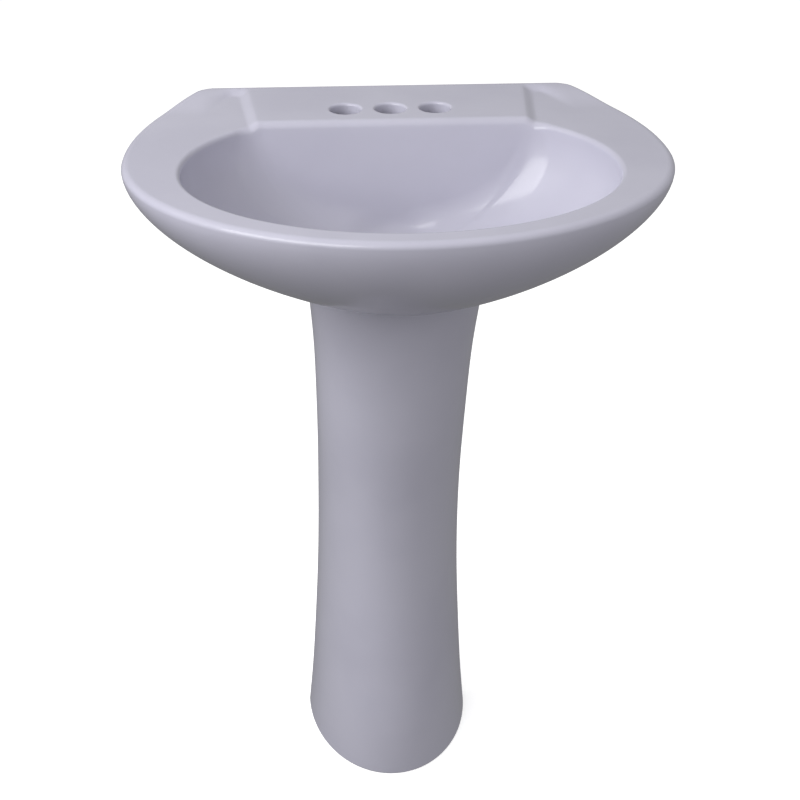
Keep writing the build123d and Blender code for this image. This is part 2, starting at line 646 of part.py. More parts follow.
def cleanout_plug():
    y = DRAIN_Y + TRAP_REACH / 2
    boss_end, head_top = cleanout_levels()
    head = hexagon(CLEANOUT_ACROSS_FLATS, head_top - CLEANOUT_HEAD, head_top, y)
    return head + cylinder(CLEANOUT_BORE, head_top, boss_end + CLEANOUT_DROP, y=y)


def wall_escutcheon():
    """Shallow dish round the arm, its mouth flat on the wall."""
    hole = TUBE_RADIUS + SOCKET_FIT
    crown = ESCUTCHEON_DEPTH
    rim = ESCUTCHEON_RADIUS
    skin = ESCUTCHEON_WALL
    dish = turned([
        (hole, crown),
        (hole, crown - skin),
        (hole + ESCUTCHEON_COLLAR, crown - skin),
        (rim - 2 * skin, skin),
        (rim - 2 * skin, 0),
        (rim, 0),
        (rim, skin),
        (hole + ESCUTCHEON_COLLAR + skin, crown),
    ])
    return Pos(0, WALL_Y, ARM_HEIGHT) * Rot(90, 0, 0) * dish


# --- output ------------------------------------------------------------------------------------

NODES = {
    "basin": basin,
    "pedestal": pedestal,
    "waste_body": waste_body,
    "stopper_cap": stopper_cap,
    "stopper_seal": stopper_seal,
    "stopper_stem": stopper_stem,
    "click_cartridge": click_cartridge,
    "stopper_spring": stopper_spring,
    "flange_gasket": flange_gasket,
    "boss_gasket": boss_gasket,
    "friction_washer": friction_washer,
    "waste_locknut": waste_locknut,
    "tailpiece": tailpiece,
    "trap_inlet_nut": lambda: slip_nut(DRAIN_Y, INLET_TOP),
    "trap_inlet_washer": lambda: slip_washer(DRAIN_Y, INLET_TOP),
    "trap_bend": trap_bend,
    "trap_outlet_nut": lambda: slip_nut(OUTLET_Y, OUTLET_TOP),
    "trap_outlet_washer": lambda: slip_washer(OUTLET_Y, OUTLET_TOP),
    "trap_arm": trap_arm,
    "cleanout_plug": cleanout_plug,
    "cleanout_washer": cleanout_washer,
    "wall_escutcheon": wall_escutcheon,
}


def main():
    os.makedirs("parts", exist_ok=True)
    for name, build in NODES.items():
        export_step(build(), f"parts/{name}.step")


main()
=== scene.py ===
"""Pedestal sink: the visual model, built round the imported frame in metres."""
import json
import logging
import math
from dataclasses import dataclass
from enum import Enum
from typing import Any, Callable, Sequence

import bpy
import numpy as np
from mathutils import Matrix, Vector


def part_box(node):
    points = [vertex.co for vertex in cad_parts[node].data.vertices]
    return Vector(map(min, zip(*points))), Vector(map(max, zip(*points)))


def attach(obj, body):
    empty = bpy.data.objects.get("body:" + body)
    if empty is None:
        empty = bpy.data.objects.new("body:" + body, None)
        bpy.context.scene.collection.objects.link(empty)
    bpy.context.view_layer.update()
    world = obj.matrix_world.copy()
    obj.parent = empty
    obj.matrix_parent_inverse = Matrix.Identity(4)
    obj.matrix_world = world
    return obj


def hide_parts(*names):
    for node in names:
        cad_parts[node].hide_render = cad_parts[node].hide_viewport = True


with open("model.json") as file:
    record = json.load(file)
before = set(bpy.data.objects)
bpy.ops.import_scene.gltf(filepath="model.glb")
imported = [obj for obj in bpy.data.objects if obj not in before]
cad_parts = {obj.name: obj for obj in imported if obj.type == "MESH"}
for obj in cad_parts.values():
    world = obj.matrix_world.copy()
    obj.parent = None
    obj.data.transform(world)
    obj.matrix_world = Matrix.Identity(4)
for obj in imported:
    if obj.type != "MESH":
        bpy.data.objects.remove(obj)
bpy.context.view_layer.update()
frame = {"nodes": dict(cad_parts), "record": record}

LOG = logging.getLogger("sink")
MM = 0.001
TURN = 2.0 * math.pi
QUARTER = TURN / 4.0
TINY = 1e-9                # keeps a division at a centre from failing
VANISHING = 1e-12          # the same, for a direction's length
FARTHEST = 420.0           # millimetres, past every outline
HALVINGS = 26
MERGE = 1e-6               # metres
SHARP_ANGLE = 35.0         # degrees
BEVEL_SEGMENTS = 5
CUTTER_LINES = 144
FAUCET_HOLE_LINES = 120
BOLT_HOLE_LINES = 48
WHITE = (1.0, 1.0, 1.0)
MIX_COLOURS, MIX_RESULT = (6, 7), 2      # the Mix node's colour sockets
Gap = Callable[[np.ndarray, np.ndarray], np.ndarray]
Triple = tuple[float, float, float]
Piece, Material, Socket = bpy.types.Object, bpy.types.Material, bpy.types.NodeSocket


# --- plan geometry, in millimetres

def mix(low: Any, high: Any, share: Any) -> Any:
    """Value a share of the way from low to high."""
    return low + (high - low) * share


def smooth(value: np.ndarray) -> np.ndarray:
    """Smoothstep of a value held between 0 and 1."""
    held = np.clip(value, 0.0, 1.0)
    return held * held * (3.0 - 2.0 * held)


def soft_max(first: Any, second: Any, blend: float) -> Any:
    """Larger of two values, rounded over where they are within blend of each other."""
    near = np.clip(blend - np.abs(first - second), 0.0, None) / blend
    return np.maximum(first, second) + near * near * blend / 4.0


def round_cut(first: Any, second: Any, radius: Any) -> Any:
    """Gap to the overlap of two regions, its corner rounded.

    Args:
        first: Gap to the first region, negative inside.
        second: Gap to the second region.
        radius: Radius of the corner.

    Returns:
        The gap, negative inside both.
    """
    inner = np.minimum(np.maximum(first, second), -radius)
    return inner + np.hypot(np.maximum(first + radius, 0.0), np.maximum(second + radius, 0.0))


def ellipse_gap(x: np.ndarray, y: np.ndarray, half_x: Any, half_y: Any) -> np.ndarray:
    """Radial gap to an ellipse about the origin.

    Args:
        x: Places across.
        y: Places towards the wall.
        half_x: Half of the ellipse's width.
        half_y: Half of its depth.

    Returns:
        The gap, negative inside.
    """
    reach = np.hypot(x, y) + TINY
    share = np.hypot(x / half_x, y / half_y) + TINY
    return reach * (1.0 - 1.0 / share)


def spaced(stops: Sequence[tuple[int, float]], count: int) -> np.ndarray:
    """Angles counterclockwise from the wall side, in radians, the right half mirroring the left.

    Args:
        stops: Pairs of a line's number and its angle in degrees, from 0 to half way round.
        count: Lines in the whole turn.

    Returns:
        One angle for each line.
    """
    lines = np.arange(count // 2 + 1)
    half = np.interp(lines, [line for line, _ in stops], [math.radians(a) for _, a in stops])
    return np.concatenate([half, TURN - half[-2:0:-1]])


def polar_ring(gap: Gap, centre_y: Any, angles: np.ndarray) -> np.ndarray:
    """Outline of a region as radii about a centre, found by halving.

    Args:
        gap: Gap to the region, negative inside.
        centre_y: The centre's place on the middle line.
        angles: Angles counterclockwise from the wall side.

    Returns:
        Radius at each angle at which the gap changes sign.
    """
    low = np.zeros_like(angles)
    high = np.full_like(angles, FARTHEST)
    for _ in range(HALVINGS):
        middle = (low + high) / 2.0
        inside = gap(-np.sin(angles) * middle, centre_y + np.cos(angles) * middle) < 0.0
        low = np.where(inside, middle, low)
        high = np.where(inside, high, middle)
    return low


def on_plan(radius: Any, centre_y: Any, angles: np.ndarray) -> np.ndarray:
    """Plan points at a radius from a centre on the middle line."""
    return np.stack([-np.sin(angles) * radius, centre_y + np.cos(angles) * radius], axis=1)


def traced(gap: Gap, centre_y: Any, angles: np.ndarray) -> np.ndarray:
    """Plan points of a region's outline, at angles about a centre on the middle line."""
    return on_plan(polar_ring(gap, centre_y, angles), centre_y, angles)


def outward(points: np.ndarray) -> np.ndarray:
    """Outward direction at each point of an outline in plan.

    Args:
        points: A closed counterclockwise outline.

    Returns:
        Unit normals.
    """
    along = np.roll(points, -1, axis=0) - np.roll(points, 1, axis=0)
    normal = np.stack([along[:, 1], -along[:, 0]], axis=1)
    return normal / (np.linalg.norm(normal, axis=1, keepdims=True) + VANISHING)


def lifted(points: np.ndarray, height: Any) -> np.ndarray:
    """Plan points with a height added, as one ring."""
    return np.column_stack([points, np.broadcast_to(height, len(points))])


# --- work by operators

def mode(name: str) -> None:
    """Enter EDIT or OBJECT mode."""
    bpy.ops.object.mode_set(mode=name)


def only(piece: Piece) -> None:
    """Make a piece the only one selected, and the active one.

    Args:
        piece: The piece.
    """
    bpy.ops.object.select_all(action="DESELECT")
    piece.select_set(True)
    bpy.context.view_layer.objects.active = piece


def modify(piece: Piece, kind: str, **settings: Any) -> None:
    """Add a modifier to a piece and apply it.

    Args:
        piece: The mesh object.
        kind: The modifier's type.
        settings: Its properties.
    """
    only(piece)
    step = piece.modifiers.new(kind.title(), kind)
    for name, value in settings.items():
        setattr(step, name, value)
    bpy.ops.object.modifier_apply(modifier=step.name)


class Join(Enum):
    """Ways to combine two solids."""

    CUT = "DIFFERENCE"
    ADD = "UNION"
    KEEP = "INTERSECT"


def combine(piece: Piece, other: Piece, how: Join) -> None:
    """Combine a piece with another solid, which is used up."""
    modify(piece, "BOOLEAN", operation=how.value, solver="EXACT", object=other)
    bpy.data.objects.remove(other)


def tidy_mesh(piece: Piece) -> None:
    """Merge doubles, turn the faces outwards and shade smooth all but the sharp edges.

    Args:
        piece: The mesh object.
    """
    only(piece)
    mode("EDIT")
    bpy.ops.mesh.select_all(action="SELECT")
    bpy.ops.mesh.remove_doubles(threshold=MERGE)
    bpy.ops.mesh.normals_make_consistent(inside=False)
    mode("OBJECT")
    bpy.ops.object.shade_smooth_by_angle(angle=math.radians(SHARP_ANGLE))


def ring_skin(name: str, rings: Sequence[np.ndarray]) -> Piece:
    """Closed skin through rings of points, a circle extruded ring by ring and capped at both ends.

    Args:
        name: Name of the piece.
        rings: Rings with the same number of points, in millimetres, first to last.

    Returns:
        The new object, at the origin.
    """
    count = len(rings[0])
    bpy.ops.object.select_all(action="DESELECT")
    bpy.ops.mesh.primitive_circle_add(vertices=count, radius=float(np.abs(rings[0]).max()) * MM)
    piece = bpy.context.active_object
    piece.name = name
    mode("EDIT")
    bpy.ops.mesh.select_all(action="SELECT")
    for low, high in zip(rings, rings[1:]):
        rise = float(high[:, 2].mean() - low[:, 2].mean()) * MM
        bpy.ops.mesh.extrude_region_move(TRANSFORM_OT_translate={"value": (0.0, 0.0, rise)})
    bpy.ops.mesh.edge_face_add()
    mode("OBJECT")
    piece.location = (0.0, 0.0, 0.0)
    piece.data.vertices.foreach_set("co", (np.concatenate(rings) * MM).ravel())
    cap_first_ring(piece, count)
    return piece


def cap_first_ring(piece: Piece, count: int) -> None:
    """Close the open first ring of a skin and turn all its faces outwards.

    Args:
        piece: The skin.
        count: Points in each of its rings.
    """
    only(piece)
    mode("EDIT")
    bpy.ops.mesh.select_mode(type="VERT")
    bpy.ops.mesh.select_all(action="DESELECT")
    mode("OBJECT")
    for vertex in piece.data.vertices[:count]:
        vertex.select = True
    mode("EDIT")
    bpy.ops.mesh.edge_face_add()
    bpy.ops.mesh.select_all(action="SELECT")
    bpy.ops.mesh.normals_make_consistent(inside=False)
    mode("OBJECT")


def turned(name: str, profile: Sequence[tuple[float, float]], x: float, y: float,
           count: int = 96) -> Piece:
    """Closed solid of revolution about an upright axis, in millimetres.

    Args:
        name: Name of the piece.
        profile: Radii and heights, bottom to top.
        x: The axis' place across.
        y: The axis' place towards the wall.
        count: Points in each ring.

    Returns:
        The new object, at the origin.
    """
    angles = np.arange(count) * TURN / count
    rings = [lifted(on_plan(radius, y, angles) + (x, 0.0), height) for radius, height in profile]
    return ring_skin(name, rings)


def block(name: str, low: Sequence[float], high: Sequence[float], edge: float) -> Piece:
    """Box with rounded edges, in millimetres.

    Args:
        name: Name of the piece.
        low: Its lowest corner.
        high: Its highest corner.
        edge: Radius of its edges.

    Returns:
        The new object, at the origin.
    """
    bpy.ops.object.select_all(action="DESELECT")
    middle = [mix(a, b, 0.5) * MM for a, b in zip(low, high)]
    size = [(b - a) * MM for a, b in zip(low, high)]
    bpy.ops.mesh.primitive_cube_add(size=1.0, location=middle, scale=size)
    piece = bpy.context.active_object
    piece.name = name
    bpy.ops.object.transform_apply(location=True, rotation=False, scale=True)
    modify(piece, "BEVEL", width=edge * MM, segments=BEVEL_SEGMENTS, limit_method="NONE")
    return piece


# --- shader building

class Value:
    """A number socket that adds Math nodes as it is used in expressions."""

    def __init__(self, shader: "Shader", socket: Socket) -> None:
        """Wrap one output socket of a shader."""
        self.shader = shader
        self.socket = socket

    def __add__(self, other: Any) -> "Value":
        """self + other."""
        return self.shader.math("ADD", self, other)

    __radd__ = __add__

    def __sub__(self, other: Any) -> "Value":
        """self - other."""
        return self.shader.math("SUBTRACT", self, other)

    def __rsub__(self, other: Any) -> "Value":
        """other - self."""
        return self.shader.math("SUBTRACT", other, self)

    def __mul__(self, other: Any) -> "Value":
        """self * other."""
        return self.shader.math("MULTIPLY", self, other)

    __rmul__ = __mul__


class Shader:
    """Node tree of one material, with one Principled shader at its end."""

    def __init__(self, name: str) -> None:
        """Start a material with only its shader and output.

        Args:
            name: The material's name.
        """
        self.material = bpy.data.materials.new(name)
        self.material.use_nodes = True
        self.tree = self.material.node_tree
        self.tree.nodes.clear()
        self.surface = self.node("ShaderNodeBsdfPrincipled", {}, {})
        self.node("ShaderNodeOutputMaterial", {}, {"Surface": self.surface.outputs[0]})
        self.place = self.node("ShaderNodeTexCoord", {}, {}).outputs["Object"]

    def node(self, kind: str, settings: dict[str, Any], inputs: dict[Any, Any]) -> bpy.types.Node:
        """Add a node.

        Args:
            kind: The node's type.
            settings: Its properties, set first.
            inputs: Values or links of its sockets, by name or number.

        Returns:
            The new node.
        """
        node = self.tree.nodes.new(kind)
        for name, value in settings.items():
            setattr(node, name, value)
        for key, value in inputs.items():
            self.feed(node.inputs[key], value)
        return node

    def feed(self, socket: Socket, value: Any) -> None:
        """Link a socket to a value, or set it.

        Args:
            socket: The input socket.
            value: A value or output socket to link, or a number, colour or vector.
        """
        if isinstance(value, Value):
            value = value.socket
        if isinstance(value, Socket):
            self.tree.links.new(value, socket)
        elif isinstance(value, (tuple, list)) and len(value) == 3 and socket.type == "RGBA":
            socket.default_value = (*value, 1.0)
        else:
            socket.default_value = value

    def math(self, operation: str, first: Any, second: Any) -> Value:
        """One Math node as a value."""
        node = self.node("ShaderNodeMath", {"operation": operation}, {0: first, 1: second})
        return Value(self, node.outputs[0])

    def axis(self, name: str) -> Value:
        """One object coordinate, in metres."""
        split = self.node("ShaderNodeSeparateXYZ", {}, {0: self.place})
        return Value(self, split.outputs[name])

    def noise(self, scale: float, detail: float, stretch: Sequence[float] = (1, 1, 1)) -> Value:
        """Noise on object coordinates.

        Args:
            scale: Its cells in a metre.
            detail: Its finer octaves.
            stretch: Scale of each coordinate.

        Returns:
            A value from 0 to 1.
        """
        where = self.node("ShaderNodeMapping", {}, {"Vector": self.place, "Scale": tuple(stretch)})
        inputs = {"Vector": where.outputs[0], "Scale": scale, "Detail": detail}
        return Value(self, self.node("ShaderNodeTexNoise", {}, inputs).outputs["Fac"])

    def band(self, value: Value, low: float, high: float) -> Value:
        """Value eased between two levels.

        Args:
            value: The value.
            low: Level that becomes 0.
            high: Level that becomes 1.

        Returns:
            The eased value, held from 0 to 1.
        """
        settings = {"interpolation_type": "SMOOTHSTEP"}
        inputs = {"Value": value, "From Min": low, "From Max": high}
        return Value(self, self.node("ShaderNodeMapRange", settings, inputs).outputs["Result"])

    def colours(self, share: Any, first: Any, second: Any) -> Socket:
        """Mix of two colours.

        Args:
            share: Share of the second colour.
            first: First colour or its socket.
            second: Second colour or its socket.

        Returns:
            The mixed colour's socket.
        """
        node = self.node("ShaderNodeMix", {"data_type": "RGBA"}, {"Factor": share})
        for number, colour in zip(MIX_COLOURS, (first, second)):
            self.feed(node.inputs[number], colour)
        return node.outputs[MIX_RESULT]

    def bump(self, height: Value, strength: float, depth: float, base: Any = None) -> Any:
        """Normal of a bump.

        Args:
            height: Height of the surface, from 0 to 1.
            strength: Strength of the bump.
            depth: Its depth in metres.
            base: Normal under it, if it isn't the surface's own.

        Returns:
            The normal's socket.
        """
        inputs = {"Height": height, "Strength": strength, "Distance": depth}
        if base is not None:
            inputs["Normal"] = base
        return self.node("ShaderNodeBump", {}, inputs).outputs[0]

    def finish(self, **inputs: Any) -> Material:
        """Feed the shader's sockets.

        Args:
            inputs: Values or links, their names with underscores for spaces.

        Returns:
            The material.
        """
        for name, value in inputs.items():
            self.feed(self.surface.inputs[name.replace("_", " ")], value)
        return self.material


# --- finishes

@dataclass(frozen=True)
class Glaze:
    """Fired glaze on vitreous china, bare where the piece stood in the kiln."""

    name: str
    colour: Triple = (0.495, 0.487, 0.575)
    pooled: Triple = (0.455, 0.447, 0.535)
    bare: Triple = (0.62, 0.58, 0.53)
    bare_below: float = 0.0
    roughness: float = 0.20
    bare_roughness: float = 0.6
    coat: float = 0.15
    coat_roughness: float = 0.05
    refraction: float = 1.52
    cloud_scale: float = 5.0
    mottle_scale: float = 420.0
    pore_scale: float = 900.0
    sand_scale: float = 1500.0
    peel_scale: float = 85.0
    peel_depth: float = 0.0006
    grain_depth: float = 0.00012
    edge_scale: float = 60.0
    edge_wander: float = 0.0006
    edge_width: float = 0.0012

    def build(self) -> Material:
        """Make the material.

        Returns:
            The material.
        """
        shader = Shader(self.name)
        cloud = shader.noise(self.cloud_scale, 3.0)
        mottle = shader.noise(self.mottle_scale, 2.0)
        pores = shader.band(shader.noise(self.pore_scale, 1.0), 0.70, 0.78)
        glaze = shader.colours(shader.band(cloud, 0.35, 0.7), self.colour, self.pooled)
        glaze = shader.colours(shader.band(mottle, 0.5, 0.8) * 0.10, glaze, self.pooled)
        height = shader.axis("Z")
        wavy = height + shader.noise(self.edge_scale, 2.0) * self.edge_wander
        bare = 1.0 - shader.band(wavy, self.bare_below, self.bare_below + self.edge_width)
        sand = shader.noise(self.sand_scale, 3.0)
        body = shader.colours(sand, self.bare, tuple(0.82 * c for c in self.bare))
        colour = shader.colours(bare, glaze, body)
        rough = self.roughness + shader.band(cloud, 0.3, 0.8) * 0.035 + bare * self.bare_roughness
        peel = shader.bump(shader.noise(self.peel_scale, 1.5), 0.10, self.peel_depth)
        grain = shader.bump(pores * 0.5 + sand * bare, 0.25, self.grain_depth, peel)
        return shader.finish(Base_Color=colour, Roughness=rough, Normal=grain,
                             Coat_Weight=(1.0 - bare) * self.coat, IOR=self.refraction,
                             Coat_Roughness=self.coat_roughness)


@dataclass(frozen=True)
class Chrome:
    """Bright plating with faint polishing marks and water haze."""

    name: str
    colour: Triple = (0.80, 0.81, 0.83)
    hazed: Triple = (0.66, 0.67, 0.68)
    roughness: float = 0.07
    haze_scale: float = 38.0
    mark_scale: float = 350.0
    mark_depth: float = 0.00005

    def build(self) -> Material:
        """Make the material.

        Returns:
            The material.
        """
        shader = Shader(self.name)
        haze = shader.band(shader.noise(self.haze_scale, 4.0), 0.45, 0.75)
        marks = shader.noise(self.mark_scale, 2.0, (1, 1, 12))
        colour = shader.colours(haze * 0.25, self.colour, self.hazed)
        rough = self.roughness + haze * 0.10 + marks * 0.05
        normal = shader.bump(marks, 0.06, self.mark_depth)
        return shader.finish(Base_Color=colour, Metallic=1.0, Roughness=rough, Normal=normal)


@dataclass(frozen=True)
class MachinedMetal:
    """Turned bare metal, dulled in patches, with its tool marks stacked along the axis."""

    name: str
    colour: Triple
    tarnish: Triple
    roughness: float
    age_scale: float = 60.0
    line_scale: float = 700.0
    line_depth: float = 0.00008

    def build(self) -> Material:
        """Make the material.

        Returns:
            The material.
        """
        shader = Shader(self.name)
        age = shader.band(shader.noise(self.age_scale, 5.0), 0.42, 0.72)
        lines = shader.noise(self.line_scale, 1.0, (0.04, 0.04, 4))
        colour = shader.colours(age, self.colour, self.tarnish)
        rough = self.roughness + age * 0.18 + lines * 0.08
        normal = shader.bump(lines, 0.20, self.line_depth)
        return shader.finish(Base_Color=colour, Metallic=1.0 - age * 0.15, Roughness=rough,
                             Normal=normal)


@dataclass(frozen=True)
class SoftMoulding:
    """Moulded rubber, foam or nylon with a fine skin and dusty patches."""

    name: str
    colour: Triple
    worn: Triple
    roughness: float
    grain: float = 600.0
    depth: float = 0.00015
    dust_scale: float = 45.0
    refraction: float = 1.47

    def build(self) -> Material:
        """Make the material.

        Returns:
            The material.
        """
        shader = Shader(self.name)
        dust = shader.band(shader.noise(self.dust_scale, 4.0), 0.45, 0.8)
        skin = shader.noise(self.grain, 3.0)
        colour = shader.colours(dust * 0.6 + skin * 0.2, self.colour, self.worn)
        rough = self.roughness + skin * 0.12
        normal = shader.bump(skin, 0.5, self.depth)
        return shader.finish(Base_Color=colour, Roughness=rough, Normal=normal,
                             IOR=self.refraction)


@dataclass(frozen=True)
class StudioPaper:
    """Pale matt floor."""

    name: str = "pale_floor"
    colour: Triple = (0.90, 0.90, 0.90)
    glow: float = 0.52
    fibre_scale: float = 900.0
    fibre_depth: float = 0.0001

    def build(self) -> Material:
        """Make the material.

        Returns:
            The material.
        """
        shader = Shader(self.name)
        fibre = shader.noise(self.fibre_scale, 2.0)
        colour = shader.colours(fibre * 0.3, self.colour, tuple(0.97 * c for c in self.colour))
        return shader.finish(Base_Color=colour, Roughness=0.9, Emission_Color=WHITE,
                             Normal=shader.bump(fibre, 0.1, self.fibre_depth),
                             Emission_Strength=self.glow)


# --- basin

@dataclass
class Basin:
    """The wash basin's casting: bowl, rim with raised faucet deck, hull and neck.

    Lengths are millimetres. Heights and the wall's place come from the frame.
    """

    material: Material
    top: float
    wall: float
    drain: float
    neck_end: float
    lines: int = 448
    bowl_lines: int = 56
    bowl_bunching: float = 1.12
    hull_lines: int = 52
    inner_stops: tuple[tuple[int, float], ...] = (
        (0, 0), (36, 47.3), (40, 49.3), (50, 51.8), (66, 55.4), (92, 73), (224, 180))
    outer_stops: tuple[tuple[int, float], ...] = (
        (0, 0), (36, 33.2), (40, 35.3), (50, 37.6), (66, 39.5), (92, 46), (224, 180))
    half_width: float = 292.0
    front: float = -227.5
    widest: float = 6.5
    side_taper: float = 79.0
    corner: float = 12.0
    deck_rise: float = 5.0
    deck_front: float = 96.5
    deck_half_front: float = 147.5
    deck_half_back: float = 161.0
    slope: float = 14.0
    strip: float = 10.0
    strip_slope: tuple[float, float] = (16.0, 74.0)
    strip_ends: tuple[float, float] = (178.0, 36.0)
    bowl_depth: float = 122.0
    bowl_half: Triple = (229.0, 168.0, 176.0)
    bowl_centre: float = -30.5
    floor_radius: float = 34.0
    lean: float = 9.0
    wall_fillet: Triple = (13.0, 26.0, 10.0)
    lip: tuple[float, float] = (5.5, 9.0)
    hull_depth: float = 130.0
    hull_drop: float = 12.0
    hull_power: tuple[float, float] = (1.65, 1.5)
    foot: tuple[float, float, float, float] = (60.0, -86.5, 21.5, 15.0)
    back_rise: tuple[float, float] = (115.5, 39.0)
    neck_half: float = 100.4
    neck_widest: float = 36.5
    neck_front: float = -38.5
    neck_rear: float = 154.5
    neck_tail: float = 200.0
    neck_corner: float = 5.0
    china: float = 10.0
    seam: float = 0.6
    neck_blend: tuple[float, float] = (15.0, 8.0)
    arc_lines: int = 9
    faucet_pitch: float = 50.8
    faucet_setback: float = 88.0
    hanger_pitch: float = 101.6
    hanger_drop: float = 64.0
    drain_bore: float = 22.2
    boss_radius: float = 40.0
    overflow_half: float = 13.0
    overflow_back: float = -202.0

    def __post_init__(self) -> None:
        """Work out the levels and the angles of the lines round the basin."""
        self.rim = self.top - self.deck_rise
        self.floor = self.rim - self.bowl_depth
        self.hull_top = self.top - self.hull_drop
        self.hull_bottom = self.hull_top - self.hull_depth
        self.inner = spaced(self.inner_stops, self.lines)
        self.outer = spaced(self.outer_stops, self.lines)

    # heights and gaps

    def rim_height(self, points: np.ndarray) -> np.ndarray:
        """Height of the rim and the faucet deck.

        Args:
            points: Plan points.

        Returns:
            The height over each.
        """
        x, y = np.abs(points[:, 0]), points[:, 1]
        share = (y - self.deck_front) / (self.wall - self.deck_front)
        deck = (mix(self.deck_half_front, self.deck_half_back, share) + self.slope - x) / self.slope
        deck = np.where(y > 0.0, deck, -1.0)
        ends_from, ends_over = self.strip_ends
        run = mix(*self.strip_slope, smooth((x - ends_from) / ends_over))
        strip = (y - self.wall + self.strip + run) / run
        raised = smooth(soft_max(np.clip(deck, -1, 2), np.clip(strip, -1, 2), 0.5))
        return self.rim + self.deck_rise * raised

    def bowl_gap(self, share: float, height: Any, grow: float = 0.0) -> tuple[Gap, float]:
        """Gap to the bowl at a share of its height.

        Args:
            share: Share of the way from the bowl's floor to the rim.
            height: Height of the ring, one value or one for each point.
            grow: How far the outline stands out.

        Returns:
            The gap in plan, and the ring's centre on the middle line.
        """
        spread = math.sqrt(1.0 - (1.0 - share) ** 2)
        centre = mix(self.drain, self.bowl_centre, spread)
        half_x, front, back = (
            mix(self.floor_radius, half, spread) + grow for half in self.bowl_half)
        run = (self.bowl_half[2] - self.floor_radius) * (1.0 - share) / max(spread, 1e-3)
        steep = self.bowl_depth / math.hypot(self.bowl_depth, run)
        wall = self.deck_front + grow - (self.rim - height) * math.tan(math.radians(self.lean))
        behind_drain, flank, top = self.wall_fillet

        def gap(x: np.ndarray, y: np.ndarray) -> np.ndarray:
            """Gap in plan, rounded where the leaning wall meets the bowl.

            Args:
                x, y: Places in plan.

            Returns:
                The gap, negative inside.
            """
            oval = ellipse_gap(x, y - centre, half_x, np.where(y < centre, front, back)) * steep
            foot = mix(behind_drain, flank, smooth((np.abs(x) - 20.0) / 60.0 + share * 3.0))
            return round_cut(oval, y - wall, mix(foot, top, share))

        return gap, centre

    def spread(self, share: Any) -> Any:
        """How far the hull has spread at a share of its height, from 0 to 1."""
        fall, power = self.hull_power
        return (1.0 - (1.0 - share) ** fall) ** (1.0 / power)

    def hull_gap(self, share: float, height: float, inset: float = 0.0) -> tuple[Gap, float]:
        """Gap to the hull at a share of its height.

        Args:
            share: Share of the way up the hull.
            height: Height of the ring.
            inset: How far the outline stands in.

        Returns:
            The gap in plan, and the ring's centre on the middle line.
        """
        spread = self.spread(share)
        foot_half, foot_front, foot_widest, foot_taper = self.foot
        half = mix(foot_half, self.half_width, spread) - inset
        front = mix(foot_front, self.front, spread) + inset
        widest = mix(foot_widest, self.widest, spread)
        taper = mix(foot_taper, self.side_taper, spread)
        start, rise = self.back_rise
        below = min(max((self.hull_bottom + rise - height) / rise, 0.0), 1.0)
        back = mix(start, self.wall, math.sqrt(1.0 - below * below)) - inset

        def gap(x: np.ndarray, y: np.ndarray) -> np.ndarray:
            """Gap in plan to the bow, the tapering sides and the back.

            Args:
                x, y: Places in plan.

            Returns:
                The gap, negative inside.
            """
            bow = ellipse_gap(x, y - widest, half, widest - front)
            along = (y - widest) / (self.wall - widest)
            side = np.abs(x) - (half - taper * along * along)
            return round_cut(np.where(y < widest, bow, side), y - back, self.corner)

        return gap, mix(self.drain, 0.0, spread)

    def neck_gap(self, inset: float = 0.0) -> Gap:
        """Gap to the neck, which has the pedestal's outline.

        Args:
            inset: How far the outline stands in.

        Returns:
            The gap in plan.
        """
        half = self.neck_half - inset
        reach = self.neck_widest - self.neck_front - inset

        def gap(x: np.ndarray, y: np.ndarray) -> np.ndarray:
            """Gap in plan to the bow, the sides and the straight rear."""
            bow = ellipse_gap(x, y - self.neck_widest, half,
                              np.where(y < self.neck_widest, reach, self.neck_tail))
            return round_cut(bow, y - self.neck_rear + inset / 2.0, self.neck_corner)

        return gap

    # rings

    def bowl_rings(self) -> list[np.ndarray]:
        """Rings from the drain up the bowl and over its lip to the flat of the rim.

        Returns:
            The rings, the last at the top of the lip.
        """
        rings = [lifted(on_plan(radius, self.drain, self.inner), self.floor)
                 for radius in (10.0, 18.0, 26.0)]
        gap, centre = self.bowl_gap(1.0, self.rim)
        edge = traced(gap, centre, self.inner)
        deck = smooth((edge[:, 1] - self.deck_front) / 16.0 + 1.0)
        radius = mix(*self.lip, deck)
        start = np.radians(self.lean) * deck
        level = self.rim_height(edge + outward(edge) * radius[:, None])
        top = level - radius * (1.0 - np.sin(start))
        for turn in np.linspace(0.0, 1.0, self.bowl_lines) ** self.bowl_bunching * QUARTER:
            share = 1.0 - math.cos(turn)
            height = mix(self.floor, top, share)
            gap, centre = self.bowl_gap(share, height)
            rings.append(lifted(traced(gap, centre, self.inner), height))
        edge = rings[-1][:, :2]
        normal = outward(edge)
        for share in np.linspace(0.0, 1.0, 8)[1:]:
            turn = mix(start, QUARTER, share)
            out = radius * (np.cos(start) - np.cos(turn))
            plan = edge + normal * out[:, None]
            rings.append(lifted(plan, level - radius * (1.0 - np.sin(turn))))
        return rings

